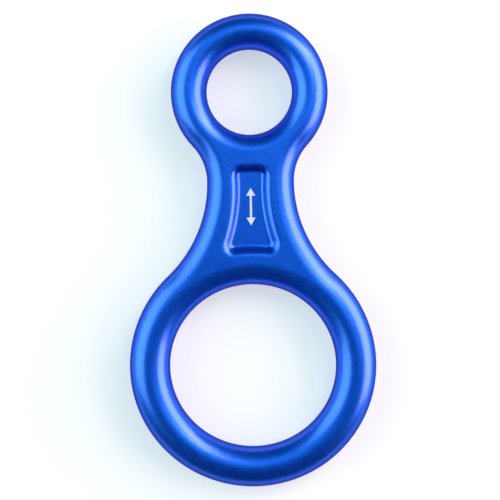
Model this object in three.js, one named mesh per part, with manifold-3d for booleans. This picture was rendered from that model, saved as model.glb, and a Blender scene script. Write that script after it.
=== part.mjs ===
// Figure eight descender: two round-barred eyes joined by a flat web, forged as one piece of aluminium.
// Millimetres. It lies flat with +Z up and +Y towards the small eye. The origin is the middle of its underside.

import * as THREE from 'three';
import { mergeVertices } from 'three/addons/utils/BufferGeometryUtils.js';
import Module from 'manifold-3d';

// Driving dimensions
const thickness = 12;

// Large eye: round above its centre, a little flatter below it where the rope runs
const largeRingRadius = 37.3;
const largeRingDrop = 36.65;
const largeHoleHalfWidth = 25.1;
const largeHoleHalfHeight = 24.5;

// Small eye, for the carabiner
const smallRingRadius = 23.75;
const smallHoleRadius = 12.9;

// Neck: on each side two arcs meet upright at the waist, and each runs smoothly into its ring. The edges are
// rounded in this far at the waist.
const waistHalfWidth = 13.15;
const waistRounding = 5.75;
const lowerFilletRadius = 38.8;
const upperFilletRadius = 16.1;

// Recess in both faces of the web. Its wall starts level at a lip, which keeps the margins to the round edges
// about it, and runs inwards by the drafts to the floor. A lip spread above 1 rounds the lip more widely than
// the foot of the wall. The sides come closest this drop below the waist.
const recessSideMargin = 0.8;
const recessTopMargin = 3.4;
const recessBottomMargin = 1.6;
const recessSideDraft = 3.85;
const recessTopDraft = 2.8;
const recessBottomDraft = 4.1;
const recessSideDrop = 2.2;
const recessLipSideRadius = 43;
const recessFloorSideRadius = 54;
const recessLipCorner = 4.4;
const recessFloorCorner = 0.6;
const recessDepth = 2.1;
const recessLipSpread = 1.3;

const cutOverrun = 1;

// Counts of facets
const ringStepDegrees = 5;
const neckSteps = 8;
const barSteps = 12;
const cornerSteps = 5;
const sideSteps = 8;
const wallSteps = 10;

const anodisedBlue = 0x0f5ad2;
const satinRoughness = 0.36;

// Distance along the axis from a ring's centre to the waist, and the polar angle on the ring, right of the
// axis, where the neck's arc leaves it
function neckRise(ringRadius, filletRadius) {
  return Math.sqrt((ringRadius + filletRadius) ** 2 - (waistHalfWidth + filletRadius) ** 2);
}

function leaveAngle(rise, filletRadius) {
  return Math.atan2(rise, waistHalfWidth + filletRadius);
}

const lowerRise = neckRise(largeRingRadius, lowerFilletRadius);
const upperRise = neckRise(smallRingRadius, upperFilletRadius);
const halfThickness = thickness / 2;
const overallLength = largeRingDrop + lowerRise + upperRise + smallRingRadius;
const largeCentre = new THREE.Vector2(0, largeRingDrop - overallLength / 2);
const waistY = largeCentre.y + lowerRise;
const smallCentre = new THREE.Vector2(0, waistY + upperRise);

// A ring is the round bar about one eye. radius and hole give its outer edge and its hole at a polar angle.
function ellipseRadius(angle, halfWidth, halfHeight) {
  return 1 / Math.hypot(Math.cos(angle) / halfWidth, Math.sin(angle) / halfHeight);
}

const largeRing = {
  centre: largeCentre,
  leave: leaveAngle(lowerRise, lowerFilletRadius),
  radius: (angle) => ellipseRadius(angle, largeRingRadius, Math.sin(angle) < 0 ? largeRingDrop : largeRingRadius),
  hole: (angle) => ellipseRadius(angle, largeHoleHalfWidth, largeHoleHalfHeight),
};
const smallRing = {
  centre: smallCentre,
  leave: leaveAngle(-upperRise, upperFilletRadius),
  radius: () => smallRingRadius,
  hole: () => smallHoleRadius,
};

function polarPoint(centre, angle, radius) {
  return new THREE.Vector2(centre.x + radius * Math.cos(angle), centre.y + radius * Math.sin(angle));
}

// A section is half of a round bar, from its crest to its edge. Both are seen from above.
function edgeSection(ring, angle) {
  const edge = ring.radius(angle);
  return {
    edge: polarPoint(ring.centre, angle, edge),
    crest: polarPoint(ring.centre, angle, (edge + ring.hole(angle)) / 2),
  };
}

function holeSection(ring, angle) {
  return {
    edge: polarPoint(ring.centre, angle, ring.hole(angle)),
    crest: edgeSection(ring, angle).crest,
  };
}

function spread(from, to, steps) {
  return Array.from({ length: steps + 1 }, (_, step) => THREE.MathUtils.lerp(from, to, step / steps));
}

// Angles along an arc in about even steps. They stop at each quarter turn, where the ring reaches furthest.
function arcAngles(from, to) {
  const quarter = Math.PI / 2;
  const stops = [from];
  for (let turn = Math.ceil(from / quarter); turn * quarter < to; turn += 1) stops.push(turn * quarter);
  const step = THREE.MathUtils.degToRad(ringStepDegrees);
  return [...stops, to].flatMap((stop, index, all) => {
    if (index === 0) return [stop];
    return spread(all[index - 1], stop, Math.ceil((stop - all[index - 1]) / step)).slice(1);
  });
}

// Right side of the neck from the large ring to the small one, without the sections that the rings hold.
// The edge's rounding eases from the bar's half width at each ring to its own size at the waist.
function neckSections() {
  const section = (ring, filletRadius, angle) => {
    const halfBar = (ring.radius(ring.leave) - ring.hole(ring.leave)) / 2;
    const share = THREE.MathUtils.smoothstep(angle / ring.leave, 0, 1);
    const rounding = THREE.MathUtils.lerp(waistRounding, halfBar, share);
    const centre = new THREE.Vector2(waistHalfWidth + filletRadius, waistY);
    return {
      edge: polarPoint(centre, Math.PI + angle, filletRadius),
      crest: polarPoint(centre, Math.PI + angle, filletRadius + rounding),
    };
  };
  const lower = spread(largeRing.leave, 0, neckSteps).slice(1);
  const upper = spread(0, smallRing.leave, neckSteps).slice(1, -1);
  return [
    ...lower.map((angle) => section(largeRing, lowerFilletRadius, angle)),
    ...upper.map((angle) => section(smallRing, upperFilletRadius, angle)),
  ];
}

function mirrored(sections) {
  const flip = (point) => new THREE.Vector2(-point.x, point.y);
  return sections.map(({ edge, crest }) => ({ edge: flip(edge), crest: flip(crest) })).reverse();
}

// Collects triangles and gives them back as a closed geometry with shared corners
class Surface {
  constructor() {
    this.corners = [];
  }

  triangle(a, b, c) {
    for (const corner of [a, b, c]) this.corners.push(corner.x, corner.y, corner.z);
  }

  // Joins rows of points into a skin. Each row is a closed loop. Rows that rise go round the solid
  // counterclockwise, seen from above, and rows that fall go round it clockwise.
  skin(rows) {
    for (let row = 0; row + 1 < rows.length; row += 1) {
      const near = rows[row];
      const far = rows[row + 1];
      near.forEach((point, index) => {
        const next = (index + 1) % near.length;
        this.triangle(point, near[next], far[next]);
        this.triangle(point, far[next], far[index]);
      });
    }
  }

  // Fills a level outline, with its face up or down
  flat(outline, height, facesUp) {
    for (const corners of THREE.ShapeUtils.triangulateShape(outline, [])) {
      const points = corners.map((corner) => outline[corner]);
      if (THREE.ShapeUtils.isClockWise(points) === facesUp) points.reverse();
      this.triangle(...points.map((point) => new THREE.Vector3(point.x, point.y, height)));
    }
  }

  geometry() {
    const loose = new THREE.BufferGeometry();
    loose.setAttribute('position', new THREE.Float32BufferAttribute(this.corners, 3));
    return mergeVertices(loose);
  }
}

// The rounded skin along a closed run of sections, from the top crest over the edge to the bottom crest
function roundedEdge(surface, sections) {
  surface.skin(spread(0, Math.PI, barSteps).map((turn) => sections.map(({ edge, crest }) => {
    const point = crest.clone().lerp(edge, Math.sin(turn));
    return new THREE.Vector3(point.x, point.y, halfThickness * (1 + Math.cos(turn)));
  })));
}

function bodyGeometry() {
  const fullTurn = 2 * Math.PI;
  const neck = neckSections();
  const largeFree = arcAngles(Math.PI - largeRing.leave, fullTurn + largeRing.leave);
  const largeWeb = arcAngles(largeRing.leave, Math.PI - largeRing.leave);
  const smallFree = arcAngles(smallRing.leave, Math.PI - smallRing.leave);
  const smallWeb = arcAngles(Math.PI - smallRing.leave, fullTurn + smallRing.leave);
  const surface = new Surface();

  roundedEdge(surface, [
    ...largeFree.map((angle) => edgeSection(largeRing, angle)),
    ...neck,
    ...smallFree.map((angle) => edgeSection(smallRing, angle)),
    ...mirrored(neck),
  ].reverse());

  // Both holes' runs go round once: the part of the bar that is free, then the part that the web meets
  for (const [ring, free, web] of [[largeRing, largeFree, largeWeb], [smallRing, smallFree, smallWeb]]) {
    roundedEdge(surface, [...free, ...web.slice(1, -1)].map((angle) => holeSection(ring, angle)));
  }

  const web = [
    ...largeWeb.map((angle) => edgeSection(largeRing, angle)).reverse(),
    ...neck,
    ...smallWeb.map((angle) => edgeSection(smallRing, angle)).reverse(),
    ...mirrored(neck),
  ].map(({ crest }) => crest);
  surface.flat(web, thickness, true);
  surface.flat(web, 0, false);
  return surface.geometry();
}

// Outline of the recess at a share of the way from its lip to its floor: upright arcs for sides, a straight
// top and a bottom that runs round the large eye, with rounded corners
function recessOutline(share) {
  const largeCrest = (largeRing.radius(Math.PI / 2) + largeRing.hole(Math.PI / 2)) / 2;
  const smallCrest = (smallRingRadius + smallHoleRadius) / 2;
  const halfWidth = waistHalfWidth - waistRounding - recessSideMargin - recessSideDraft * share;
  const top = smallCentre.y - smallCrest - recessTopMargin - recessTopDraft * share;
  const bottomRadius = largeCrest + recessBottomMargin + recessBottomDraft * share;
  const sideRadius = THREE.MathUtils.lerp(recessLipSideRadius, recessFloorSideRadius, share);
  const corner = THREE.MathUtils.lerp(recessLipCorner, recessFloorCorner, share);
  const sideCentre = new THREE.Vector2(halfWidth + sideRadius, waistY - recessSideDrop);

  const topCornerY = top - corner;
  const sideReach = sideRadius + corner;
  const topCorner = new THREE.Vector2(
    sideCentre.x - Math.sqrt(sideReach ** 2 - (topCornerY - sideCentre.y) ** 2),
    topCornerY,
  );
  const bottomReach = bottomRadius + corner;
  const gap = sideCentre.distanceTo(largeCentre);
  const foot = (gap ** 2 + bottomReach ** 2 - sideReach ** 2) / (2 * gap);
  const lift = Math.atan2(sideCentre.y - largeCentre.y, sideCentre.x);
  const bottomCorner = polarPoint(largeCentre, lift + Math.acos(foot / bottomReach), bottomReach);

  const heading = (from, to) => Math.atan2(to.y - from.y, to.x - from.x);
  const arc = (centre, radius, from, to, steps) =>
    spread(from, to, steps).map((angle) => polarPoint(centre, angle, radius));
  const toTop = heading(topCorner, sideCentre);
  const toBottom = heading(bottomCorner, sideCentre);
  const toEye = heading(bottomCorner, largeCentre);
  const right = [
    ...arc(largeCentre, bottomRadius, Math.PI / 2, heading(largeCentre, bottomCorner), sideSteps).slice(0, -1),
    ...arc(bottomCorner, corner, toEye, toBottom, cornerSteps),
    ...arc(sideCentre, sideRadius, Math.PI + toBottom, Math.PI + toTop, sideSteps).slice(1, -1),
    ...arc(topCorner, corner, toTop, Math.PI / 2, cornerSteps),
  ];
  const left = right.slice(1).reverse().map((point) => new THREE.Vector2(-point.x, point.y));
  return [...right, ...left];
}

// The cutter of one recess, mouth up, with the web's face at height zero. Its wall starts and ends level, so
// that the lip and the foot of the wall come out rounded.
function recessCutter() {
  const levels = spread(1, 0, wallSteps).map((step) => ({
    outline: recessOutline(step ** (1 / recessLipSpread)),
    height: -recessDepth * THREE.MathUtils.smootherstep(step, 0, 1),
  }));
  levels.push({ outline: recessOutline(0), height: cutOverrun });
  const surface = new Surface();
  surface.skin(levels.map(({ outline, height }) =>
    outline.map((point) => new THREE.Vector3(point.x, point.y, height))));
  surface.flat(levels.at(0).outline, levels.at(0).height, false);
  surface.flat(levels.at(-1).outline, cutOverrun, true);
  return surface.geometry();
}

const wasm = await Module();
wasm.setup();

function solidOf(geometry) {
  return new wasm.Manifold(new wasm.Mesh({
    numProp: 3,
    vertProperties: geometry.attributes.position.array,
    triVerts: Uint32Array.from(geometry.index.array),
  }));
}

function geometryOf(solid) {
  const mesh = solid.getMesh();
  const geometry = new THREE.BufferGeometry();
  geometry.setAttribute('position', new THREE.BufferAttribute(mesh.vertProperties, mesh.numProp));
  geometry.setIndex(new THREE.BufferAttribute(mesh.triVerts, 1));
  geometry.computeVertexNormals();
  return geometry;
}

function descenderBody() {
  const frontCutter = recessCutter().translate(0, 0, thickness);
  const backCutter = recessCutter().rotateY(Math.PI);
  const solid = solidOf(bodyGeometry()).subtract(solidOf(frontCutter)).subtract(solidOf(backCutter));
  const finish = new THREE.MeshStandardMaterial({
    color: anodisedBlue,
    roughness: satinRoughness,
    metalness: 1,
  });
  const body = new THREE.Mesh(geometryOf(solid), finish);
  body.name = 'descender_body';
  return body;
}

const group = new THREE.Group();
group.add(descenderBody());

export default group;
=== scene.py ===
import math

import bmesh
import bpy
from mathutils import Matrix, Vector
from mathutils.geometry import tessellate_polygon


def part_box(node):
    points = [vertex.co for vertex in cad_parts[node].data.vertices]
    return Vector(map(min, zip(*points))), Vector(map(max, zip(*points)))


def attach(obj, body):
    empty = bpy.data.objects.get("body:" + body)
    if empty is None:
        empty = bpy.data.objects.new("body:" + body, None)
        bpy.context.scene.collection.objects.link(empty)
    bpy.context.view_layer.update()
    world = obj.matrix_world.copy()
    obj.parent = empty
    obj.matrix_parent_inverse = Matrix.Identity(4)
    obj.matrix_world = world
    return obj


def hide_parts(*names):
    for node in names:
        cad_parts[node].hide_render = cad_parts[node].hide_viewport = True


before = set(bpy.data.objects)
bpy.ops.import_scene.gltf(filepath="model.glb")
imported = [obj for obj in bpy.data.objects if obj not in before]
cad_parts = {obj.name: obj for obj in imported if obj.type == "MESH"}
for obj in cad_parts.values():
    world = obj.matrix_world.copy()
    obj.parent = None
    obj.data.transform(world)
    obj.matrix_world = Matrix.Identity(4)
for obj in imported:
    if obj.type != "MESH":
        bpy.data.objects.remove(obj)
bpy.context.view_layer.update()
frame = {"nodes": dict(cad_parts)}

# Figure eight descender: one blue anodised forging, lying flat and seen from straight above.
# Lengths in the dictionaries are in millimetres, unless a note there says otherwise.

mm = 0.001
bodyLow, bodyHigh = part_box("descender_body")
thickness = (bodyHigh.z - bodyLow.z) / mm
print("frame loaded:", ", ".join(frame["nodes"]))

nodeSpacing = 200  # between nodes in the editor
mixShare, mixFirst, mixSecond, mixResult = 0, 6, 7, 2  # a Mix node's sockets for colours


def linear(hexColour):
    channels = [int(hexColour[i:i + 2], 16) / 255 for i in (1, 3, 5)]
    return [c / 12.92 if c <= 0.04045 else ((c + 0.055) / 1.055) ** 2.4 for c in channels] + [1]


# Adds a node. Each socket gets a value, or a link if it is given another node's output.
def addNode(tree, kind, sockets=None, **settings):
    node = tree.nodes.new(kind)
    node.location = (nodeSpacing * len(tree.nodes), 0)
    for name, value in settings.items():
        setattr(node, name, value)
    for socket, value in (sockets or {}).items():
        if isinstance(value, bpy.types.NodeSocket):
            tree.links.new(value, node.inputs[socket])
        else:
            node.inputs[socket].default_value = value
    return node


def newMaterial(name):
    material = bpy.data.materials.new(name)
    material.use_nodes = True
    material.node_tree.nodes.clear()
    return material, material.node_tree


def addObject(name, data):
    thing = bpy.data.objects.new(name, data)
    bpy.context.scene.collection.objects.link(thing)
    return thing


# Finish of the forging

anodised = {
    "dye": ("#0457D9", "#046AF1"),  # deepest and palest of its shades
    "cloud": 1.6,  # across one patch of a shade
    "cloudRoughness": 0.6,
    "edgeTint": "#202020",  # the dyed metal darkens where it is seen edge on
    "roughness": (0.34, 0.46),  # least and most, patch by patch
    "coat": 0.6,
    "coatAtRim": 0.13,
    "coatFade": (0.27, 0.55),  # how far a face turns from the eye where that change starts and ends
    "coatRoughness": 0.24,
    "coatIor": 1.77,  # aluminium oxide
    "grain": 0.6,  # across one dent of the blasting
    "grainHeight": 0.045,
}


# Anodised aluminium, blasted fine before it was dyed: a satin metal, deep blue, with a thin clear
# skin that gives a whiter sheen where it mirrors a lamp. The blasting breaks that sheen up where the
# skin is seen edge on, so the rims stay blue. The dye has taken a little unevenly. Its patches and
# the dents of the blasting are drawn coarser than the real ones, so that they show.
def anodisedAluminium():
    material, tree = newMaterial("anodisedAluminium")
    place = addNode(tree, "ShaderNodeTexCoord").outputs["Object"]
    grain = addNode(tree, "ShaderNodeTexNoise", {
        "Vector": place, "Scale": 1 / (anodised["grain"] * mm),
        "Detail": 1.0, "Roughness": 0.5}).outputs["Fac"]
    bump = addNode(tree, "ShaderNodeBump", {
        "Strength": 1.0, "Distance": anodised["grainHeight"] * mm, "Height": grain}).outputs["Normal"]
    cloud = addNode(tree, "ShaderNodeTexNoise", {
        "Vector": place, "Scale": 1 / (anodised["cloud"] * mm),
        "Detail": 3.0, "Roughness": anodised["cloudRoughness"]}).outputs["Fac"]
    deep, pale = (linear(shade) for shade in anodised["dye"])
    dye = addNode(tree, "ShaderNodeMix", {mixShare: cloud, mixFirst: deep, mixSecond: pale},
                  data_type="RGBA").outputs[mixResult]
    smoothest, roughest = anodised["roughness"]
    roughness = addNode(tree, "ShaderNodeMapRange", {
        "Value": cloud, "To Min": smoothest, "To Max": roughest}).outputs["Result"]
    turned = addNode(tree, "ShaderNodeLayerWeight", {"Blend": 0.5}).outputs["Facing"]
    startFade, endFade = anodised["coatFade"]
    gloss = addNode(tree, "ShaderNodeMapRange", {
        "Value": turned, "From Min": startFade, "From Max": endFade,
        "To Min": anodised["coat"], "To Max": anodised["coatAtRim"]}).outputs["Result"]
    skin = addNode(tree, "ShaderNodeBsdfPrincipled", {
        "Base Color": dye, "Metallic": 1.0, "Roughness": roughness, "Normal": bump,
        "Specular Tint": linear(anodised["edgeTint"]), "Coat Weight": gloss,
        "Coat Roughness": anodised["coatRoughness"], "Coat IOR": anodised["coatIor"]})
    addNode(tree, "ShaderNodeOutputMaterial", {"Surface": skin.outputs["BSDF"]})
    return material


# Shape of the forging

descender = {
    "largeRingRadius": 37.3,
    "largeRingDrop": 36.65,  # the large ring is a little flatter below its centre
    "largeHoleHalfWidth": 25.1,
    "largeHoleHalfHeight": 24.5,
    "smallRingRadius": 23.75,
    "smallHoleRadius": 12.9,
    "waistHalfWidth": 13.15,
    "waistRounding": 5.75,  # how far the neck's edges are rounded in at the waist
    "lowerFilletRadius": 38.8,
    "upperFilletRadius": 16.1,
    "recessSideMargin": 0.8,
    "recessTopMargin": 3.4,
    "recessBottomMargin": 1.6,
    "recessSideDraft": 3.85,
    "recessTopDraft": 2.8,
    "recessBottomDraft": 4.1,
    "recessSideDrop": 2.2,  # the sides come closest this far below the waist
    "recessLipSideRadius": 43,
    "recessFloorSideRadius": 54,
    "recessLipCorner": 4.4,
    "recessFloorCorner": 0.6,
    "recessDepth": 2.1,
    "recessLipSpread": 1.3,  # above 1 it rounds the lip more widely than the foot of the wall
    "stepDegrees": 1.5,
    "neckSteps": 30,
    "barSteps": 20,
    "barCrowding": 1.4,  # above 1 it crowds the rows at the crest and keeps the web's edge flat
    "wallSteps": 16,
    "recessEndSteps": 12,
    "recessCornerSteps": 12,
    "recessSideSteps": 24,
    "seam": 0.001,  # points at half thickness that lie closer than this are sewn together
}
d = descender

lowerReach = d["largeRingRadius"] + d["lowerFilletRadius"]
upperReach = d["smallRingRadius"] + d["upperFilletRadius"]
lowerRise = math.sqrt(lowerReach ** 2 - (d["waistHalfWidth"] + d["lowerFilletRadius"]) ** 2)
upperRise = math.sqrt(upperReach ** 2 - (d["waistHalfWidth"] + d["upperFilletRadius"]) ** 2)
overallLength = d["largeRingDrop"] + lowerRise + upperRise + d["smallRingRadius"]
largeCentre = Vector((0, d["largeRingDrop"] - overallLength / 2))
waist = largeCentre + Vector((0, lowerRise))
smallCentre = waist + Vector((0, upperRise))
quarterTurn = math.pi / 2
fullTurn = 2 * math.pi


def mix(start, end, share):
    return start + (end - start) * share


def spread(start, end, steps):
    return [mix(start, end, i / steps) for i in range(steps + 1)]


def polarPoint(centre, angle, radius):
    return centre + radius * Vector((math.cos(angle), math.sin(angle)))


def ellipseRadius(angle, halfWidth, halfHeight):
    return 1 / math.hypot(math.cos(angle) / halfWidth, math.sin(angle) / halfHeight)


def largeRadius(angle):
    halfHeight = d["largeRingDrop"] if math.sin(angle) < 0 else d["largeRingRadius"]
    return ellipseRadius(angle, d["largeRingRadius"], halfHeight)


def largeHole(angle):
    return ellipseRadius(angle, d["largeHoleHalfWidth"], d["largeHoleHalfHeight"])


# A ring's radius and hole depend on the angle. The neck's arc leaves the ring at the angle "leave".
largeRing = {
    "centre": largeCentre,
    "radius": largeRadius,
    "hole": largeHole,
    "leave": math.atan2(lowerRise, d["waistHalfWidth"] + d["lowerFilletRadius"]),
}
smallRing = {
    "centre": smallCentre,
    "radius": lambda angle: d["smallRingRadius"],
    "hole": lambda angle: d["smallHoleRadius"],
    "leave": math.atan2(-upperRise, d["waistHalfWidth"] + d["upperFilletRadius"]),
}


# Angles round an arc in even steps that stop at each quarter turn, so that the rings reach full size
def arcAngles(start, end):
    quarters = range(math.ceil(start / quarterTurn), math.ceil(end / quarterTurn))
    stops = [start] + [k * quarterTurn for k in quarters] + [end]
    angles = [start]
    for a, b in zip(stops, stops[1:]):
        angles += spread(a, b, math.ceil((b - a) / math.radians(d["stepDegrees"])))[1:]
    return angles


def crestRadius(ring, angle):
    return (ring["radius"](angle) + ring["hole"](angle)) / 2


def crestPoint(ring, angle):
    return polarPoint(ring["centre"], angle, crestRadius(ring, angle))


# A section is a pair of points: the bar's crest, and its edge or the edge of its hole
def edgeSection(ring, angle):
    return crestPoint(ring, angle), polarPoint(ring["centre"], angle, ring["radius"](angle))


def holeSection(ring, angle):
    return crestPoint(ring, angle), polarPoint(ring["centre"], angle, ring["hole"](angle))


# The rounding eases from the bar's half width at the ring to its own size at the waist
def neckSection(ring, filletRadius, angle):
    halfBar = (ring["radius"](ring["leave"]) - ring["hole"](ring["leave"])) / 2
    share = angle / ring["leave"]
    rounding = mix(d["waistRounding"], halfBar, share * share * (3 - 2 * share))
    centre = waist + Vector((d["waistHalfWidth"] + filletRadius, 0))
    return (polarPoint(centre, math.pi + angle, filletRadius + rounding),
            polarPoint(centre, math.pi + angle, filletRadius))


def mirrored(sections):
    return [tuple(Vector((-p.x, p.y)) for p in section) for section in reversed(sections)]


def heading(a, b):
    return math.atan2(b.y - a.y, b.x - a.x)


# Outline of the recess, at a share of the way from its lip to its floor
def recessOutline(share):
    flatHalfWidth = d["waistHalfWidth"] - d["waistRounding"]
    halfWidth = flatHalfWidth - d["recessSideMargin"] - d["recessSideDraft"] * share
    smallCrest, largeCrest = crestRadius(smallRing, -quarterTurn), crestRadius(largeRing, quarterTurn)
    top = smallCentre.y - smallCrest - d["recessTopMargin"] - d["recessTopDraft"] * share
    bottomRadius = largeCrest + d["recessBottomMargin"] + d["recessBottomDraft"] * share
    sideRadius = mix(d["recessLipSideRadius"], d["recessFloorSideRadius"], share)
    corner = mix(d["recessLipCorner"], d["recessFloorCorner"], share)
    sideCentre = waist + Vector((halfWidth + sideRadius, -d["recessSideDrop"]))
    rise = top - corner - sideCentre.y
    topCorner = Vector((sideCentre.x - math.sqrt((sideRadius + corner) ** 2 - rise ** 2), top - corner))
    reach = bottomRadius + corner
    gap = (sideCentre - largeCentre).length
    foot = (gap ** 2 + reach ** 2 - (sideRadius + corner) ** 2) / (2 * gap)
    lift = heading(largeCentre, sideCentre)
    bottomCorner = polarPoint(largeCentre, lift + math.acos(foot / reach), reach)
    toTop, toBottom = heading(topCorner, sideCentre), heading(bottomCorner, sideCentre)
    toEye = heading(bottomCorner, largeCentre)
    endSteps, cornerSteps, sideSteps = d["recessEndSteps"], d["recessCornerSteps"], d["recessSideSteps"]
    right = [polarPoint(largeCentre, a, bottomRadius)
             for a in spread(quarterTurn, heading(largeCentre, bottomCorner), endSteps)[:-1]]
    right += [polarPoint(bottomCorner, a, corner) for a in spread(toEye, toBottom, cornerSteps)]
    right += [polarPoint(sideCentre, a, sideRadius)
              for a in spread(math.pi + toBottom, math.pi + toTop, sideSteps)[1:-1]]
    right += [polarPoint(topCorner, a, corner) for a in spread(toTop, quarterTurn, cornerSteps)]
    return right + [Vector((-p.x, p.y)) for p in reversed(right[1:])]


# The forging's flat plan. "turn" is how far round the bar a point lies, from the crest to the edge, and
# "wall" how far it is down the recess wall, from the lip to the floor.
def bodyPlan():
    points, turns, walls, faces = [], [], [], []

    def addRow(row, turn=0.0, wall=0.0):
        first = len(points)
        points.extend(row)
        turns.extend([turn] * len(row))
        walls.extend([wall] * len(row))
        return range(first, len(points))

    def joinRows(inner, outer):
        for i in range(len(inner)):
            j = (i + 1) % len(inner)
            faces.append((inner[i], outer[i], outer[j], inner[j]))

    def fill(*loops):
        corners = [i for loop in loops for i in loop]
        for triangle in tessellate_polygon([[points[i].to_3d() for i in loop] for loop in loops]):
            a, b, c = (corners[i] for i in triangle)
            turned = (points[b] - points[a]).cross(points[c] - points[a]) < 0
            faces.append((a, c, b) if turned else (a, b, c))

    rowTurns = [quarterTurn * share ** d["barCrowding"] for share in spread(0, 1, d["barSteps"])]

    def roundedEdge(sections, outwards):
        rows = [addRow([crest.lerp(edge, math.sin(turn)) for crest, edge in sections], turn)
                for turn in rowTurns]
        for near, far in zip(rows, rows[1:]):
            joinRows(*((near, far) if outwards else (far, near)))

    largeLeave, smallLeave = largeRing["leave"], smallRing["leave"]
    neck = [neckSection(largeRing, d["lowerFilletRadius"], a)
            for a in spread(largeLeave, 0, d["neckSteps"])[1:]]
    neck += [neckSection(smallRing, d["upperFilletRadius"], a)
             for a in spread(0, smallLeave, d["neckSteps"])[1:-1]]
    largeFree = arcAngles(math.pi - largeLeave, fullTurn + largeLeave)
    largeWeb = arcAngles(largeLeave, math.pi - largeLeave)
    smallFree = arcAngles(smallLeave, math.pi - smallLeave)
    smallWeb = arcAngles(math.pi - smallLeave, fullTurn + smallLeave)

    roundedEdge([edgeSection(largeRing, a) for a in largeFree] + neck
                + [edgeSection(smallRing, a) for a in smallFree] + mirrored(neck), True)
    for ring, free, web in ((largeRing, largeFree, largeWeb), (smallRing, smallFree, smallWeb)):
        roundedEdge([holeSection(ring, a) for a in free + web[1:-1]], False)

    crests = [crestPoint(largeRing, a) for a in reversed(largeWeb)]
    crests += [crest for crest, _ in neck]
    crests += [crestPoint(smallRing, a) for a in reversed(smallWeb)]
    crests += [crest for crest, _ in mirrored(neck)]
    rows = [addRow(recessOutline(step ** (1 / d["recessLipSpread"])), wall=step)
            for step in spread(0, 1, d["wallSteps"])]
    fill(addRow(crests), rows[0])
    for shallow, deep in zip(rows, rows[1:]):
        joinRows(deep, shallow)
    fill(rows[-1])

    mesh = bpy.data.meshes.new("descenderPlan")
    mesh.from_pydata([p.to_3d() * mm for p in points], [], faces)
    for name, values in (("turn", turns), ("wall", walls)):
        mesh.attributes.new(name, "FLOAT", "POINT").data.foreach_set("value", values)
    return mesh


# Node tree that raises the plan to the forging: half of a rounded bar from crest to edge and a
# soft-edged recess, made for the top, turned over for the underside and sewn together at half thickness
def forgingTree():
    tree = bpy.data.node_groups.new("Raise Forging", "GeometryNodeTree")
    tree.interface.new_socket("Geometry", in_out="INPUT", socket_type="NodeSocketGeometry")
    for name in ("Thickness", "Recess Depth"):
        tree.interface.new_socket(name, in_out="INPUT", socket_type="NodeSocketFloat")
    tree.interface.new_socket("Finish", in_out="INPUT", socket_type="NodeSocketMaterial")
    tree.interface.new_socket("Geometry", in_out="OUTPUT", socket_type="NodeSocketGeometry")
    given = addNode(tree, "NodeGroupInput").outputs

    turn, wall = (addNode(tree, "GeometryNodeInputNamedAttribute", {"Name": name},
                          data_type="FLOAT").outputs["Attribute"] for name in ("turn", "wall"))
    half = addNode(tree, "ShaderNodeMath", {0: given["Thickness"], 1: 0.5},
                   operation="MULTIPLY").outputs[0]
    cosine = addNode(tree, "ShaderNodeMath", {0: turn}, operation="COSINE").outputs[0]
    bar = addNode(tree, "ShaderNodeMath", {0: half, 1: cosine}, operation="MULTIPLY").outputs[0]
    dip = addNode(tree, "ShaderNodeMapRange", {"Value": wall, "To Max": given["Recess Depth"]},
                  interpolation_type="SMOOTHERSTEP").outputs[0]
    height = addNode(tree, "ShaderNodeMath", {0: bar, 1: dip}, operation="SUBTRACT").outputs[0]
    rise = addNode(tree, "ShaderNodeCombineXYZ", {"Z": height}).outputs[0]
    top = addNode(tree, "GeometryNodeSetPosition", {
        "Geometry": given["Geometry"], "Offset": rise}).outputs[0]
    under = addNode(tree, "GeometryNodeTransform", {"Geometry": top, "Scale": (1, 1, -1)}).outputs[0]
    under = addNode(tree, "GeometryNodeFlipFaces", {"Mesh": under}).outputs[0]
    halves = addNode(tree, "GeometryNodeJoinGeometry")
    for part in (under, top):
        tree.links.new(part, halves.inputs[0])
    sewn = addNode(tree, "GeometryNodeMergeByDistance", {
        "Geometry": halves.outputs[0], "Distance": d["seam"] * mm}).outputs[0]
    lift = addNode(tree, "ShaderNodeCombineXYZ", {"Z": half}).outputs[0]
    raised = addNode(tree, "GeometryNodeTransform", {"Geometry": sewn, "Translation": lift}).outputs[0]
    smooth = addNode(tree, "GeometryNodeSetShadeSmooth", {"Geometry": raised}).outputs[0]
    real = addNode(tree, "GeometryNodeRealizeInstances", {"Geometry": smooth}).outputs[0]
    dyed = addNode(tree, "GeometryNodeSetMaterial", {
        "Geometry": real, "Material": given["Finish"]}).outputs[0]
    addNode(tree, "NodeGroupOutput", {"Geometry": dyed})
    return tree


def runTree(piece, tree, values):
    modifier = piece.modifiers.new(tree.name, "NODES")
    modifier.node_group = tree
    for item in tree.interface.items_tree:
        if item.in_out == "INPUT" and item.name in values:
            modifier[item.identifier] = values[item.name]
    bpy.context.view_layer.update()
    ready = piece.evaluated_get(bpy.context.evaluated_depsgraph_get())
    mesh = bpy.data.meshes.new_from_object(ready)
    piece.modifiers.remove(modifier)
    piece.data = mesh


body = addObject("descenderBody", bodyPlan())
runTree(body, forgingTree(), {
    "Thickness": thickness * mm, "Recess Depth": d["recessDepth"] * mm, "Finish": anodisedAluminium()})
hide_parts("descender_body")
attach(body, "root")
print("forging:", len(body.data.vertices), "points,", len(body.data.polygons), "faces")

# Mark in the front recess: a plain arrow with two heads, along the axis

mark = {
    "centre": (0.0, 13.0),
    "length": 11.2,
    "stroke": 0.62,
    "headWidth": 2.7,
    "headLength": 2.3,
    "sink": 0.02,  # below the recess floor
    "rise": 0.02,  # above it
    "oxide": ("#B9C6F0", "#FFFFFF"),  # where some dye is left, and where it is all burnt out
    "speckle": 0.3,  # across one fleck of left dye
    "roughness": 0.7,
}


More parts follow.
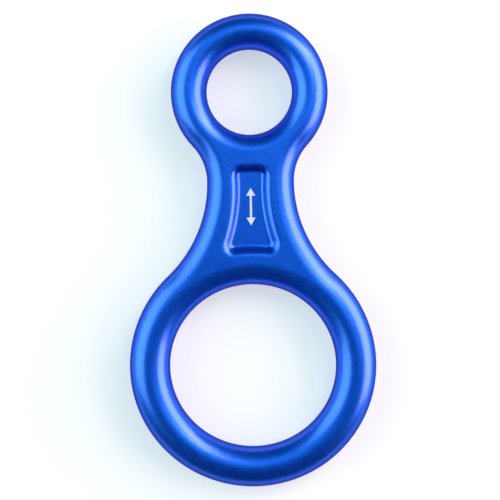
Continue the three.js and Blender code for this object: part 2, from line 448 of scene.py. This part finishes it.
# Laser mark: the dye is burnt out of the oxide, which is left chalky and nearly white
def laserMark():
    material, tree = newMaterial("laserMarkedOxide")
    place = addNode(tree, "ShaderNodeTexCoord").outputs["Object"]
    speckle = addNode(tree, "ShaderNodeTexNoise", {
        "Vector": place, "Scale": 1 / (mark["speckle"] * mm), "Detail": 1.0}).outputs["Fac"]
    stained, chalky = (linear(shade) for shade in mark["oxide"])
    oxide = addNode(tree, "ShaderNodeMix", {mixShare: speckle, mixFirst: stained, mixSecond: chalky},
                    data_type="RGBA").outputs[mixResult]
    skin = addNode(tree, "ShaderNodeBsdfPrincipled", {
        "Base Color": oxide, "Roughness": mark["roughness"]})
    addNode(tree, "ShaderNodeOutputMaterial", {"Surface": skin.outputs["BSDF"]})
    return material


def doubleArrow():
    half, neck = mark["length"] / 2, mark["length"] / 2 - mark["headLength"]
    bar, wing = mark["stroke"] / 2, mark["headWidth"] / 2
    right = [(0, -half), (wing, -neck), (bar, -neck), (bar, neck), (wing, neck), (0, half)]
    outline = right + [(-x, y) for x, y in reversed(right[1:-1])]
    x0, y0 = mark["centre"]
    bottom = thickness - d["recessDepth"] - mark["sink"]
    shape = bmesh.new()
    face = shape.faces.new([shape.verts.new(((x0 + x) * mm, (y0 + y) * mm, bottom * mm))
                            for x, y in outline])
    lifted = bmesh.ops.extrude_face_region(shape, geom=[face])["geom"]
    bmesh.ops.translate(shape, verts=[v for v in lifted if isinstance(v, bmesh.types.BMVert)],
                        vec=(0, 0, (mark["sink"] + mark["rise"]) * mm))
    bmesh.ops.recalc_face_normals(shape, faces=shape.faces)
    mesh = bpy.data.meshes.new("axisMark")
    shape.to_mesh(mesh)
    shape.free()
    return mesh


axisMark = addObject("axisMark", doubleArrow())
axisMark.data.materials.append(laserMark())
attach(axisMark, "root")
print("axis mark made")

# Table, lights and camera

studio = {
    "table": "#B8BABA",
    "tableGlow": 0.54,  # its own light, where 1 is white
    "tableReach": 2.5,  # m from the middle to each side
    "tableGap": 0.05,  # below the web's lower face
    "surroundings": "#275878",
    "distance": 1.5,  # m from the object to each lamp
    # Azimuth is clockwise from +Y and elevation above the table, in degrees. Width and height are in
    # metres. Level is how bright a lamp's face looks, where 1 is white. The lamps are warm on the
    # right and cool on the left and overhead, as the sheen on the metal is.
    "lamps": {
        "rightWall": {"azimuth": 79, "elevation": 22.5, "width": 1.95, "height": 1.22,
                      "level": 5.8, "colour": "#FFD0CE"},
        "rightFront": {"azimuth": 40, "elevation": 45, "width": 0.48, "height": 1.05,
                       "level": 5.9, "colour": "#F9E3D1"},
        "leftWall": {"azimuth": 281, "elevation": 32, "width": 1.6, "height": 1.5,
                     "level": 2.55, "colour": "#D6FFEA"},
        "overhead": {"azimuth": 20, "elevation": 72, "width": 1.6, "height": 0.85,
                     "level": 0.88, "colour": "#6CE2FF"},
    },
}


# White table: matt paint, with a faint light of its own that lifts it to the backdrop's white
def whiteTable():
    material, tree = newMaterial("mattWhitePaint")
    ray = addNode(tree, "ShaderNodeLightPath").outputs
    seen = addNode(tree, "ShaderNodeMath", {0: ray["Is Camera Ray"], 1: ray["Is Glossy Ray"]},
                   operation="MAXIMUM").outputs[0]
    seen = addNode(tree, "ShaderNodeMath", {0: seen, 1: ray["Is Transmission Ray"]},
                   operation="MAXIMUM").outputs[0]
    glow = addNode(tree, "ShaderNodeMath", {0: seen, 1: studio["tableGlow"]},
                   operation="MULTIPLY").outputs[0]
    light = addNode(tree, "ShaderNodeEmission", {"Color": (1, 1, 1, 1), "Strength": glow})
    paint = addNode(tree, "ShaderNodeBsdfDiffuse", {"Color": linear(studio["table"])})
    both = addNode(tree, "ShaderNodeAddShader", {0: paint.outputs[0], 1: light.outputs[0]})
    addNode(tree, "ShaderNodeOutputMaterial", {"Surface": both.outputs[0]})
    return material


def addLight(name, box):
    lamp = bpy.data.lights.new(name, "AREA")
    lamp.shape = "RECTANGLE"
    lamp.size, lamp.size_y = box["width"], box["height"]
    lamp.color = linear(box["colour"])[:3]
    lamp.energy = box["level"] * math.pi * box["width"] * box["height"]
    azimuth, elevation = math.radians(box["azimuth"]), math.radians(box["elevation"])
    towards = Vector((math.sin(azimuth) * math.cos(elevation), math.cos(azimuth) * math.cos(elevation),
                      math.sin(elevation)))
    light = addObject(name, lamp)
    light.location = towards * studio["distance"]
    light.rotation_euler = towards.to_track_quat("Z", "Y").to_euler()


for name, box in studio["lamps"].items():
    addLight(name, box)

world = bpy.data.worlds.new("studio")
world.use_nodes = True
world.node_tree.nodes["Background"].inputs["Color"].default_value = linear(studio["surroundings"])
bpy.context.scene.world = world

table = bmesh.new()
bmesh.ops.create_grid(table, x_segments=1, y_segments=1, size=studio["tableReach"])
tableMesh = bpy.data.meshes.new("table")
table.to_mesh(tableMesh)
table.free()
floor = addObject("table", tableMesh)
floor.data.materials.append(whiteTable())
floor.location.z = -studio["tableGap"] * mm

camera = {
    "above": (-0.45, 0.0),  # the point that the picture's middle looks down on
    "height": 396,
    "turn": -0.8166,  # degrees
    "lens": 92.7,
    "nearest": 10,  # nothing closer than this is drawn
}
eye = addObject("camera", bpy.data.cameras.new("camera"))
eye.location = (camera["above"][0] * mm, camera["above"][1] * mm, camera["height"] * mm)
eye.rotation_euler = (0, 0, math.radians(camera["turn"]))
eye.data.lens = camera["lens"]
eye.data.clip_start = camera["nearest"] * mm
bpy.context.scene.camera = eye
bpy.context.scene.view_settings.view_transform = "Standard"
print("table, lights and camera placed")
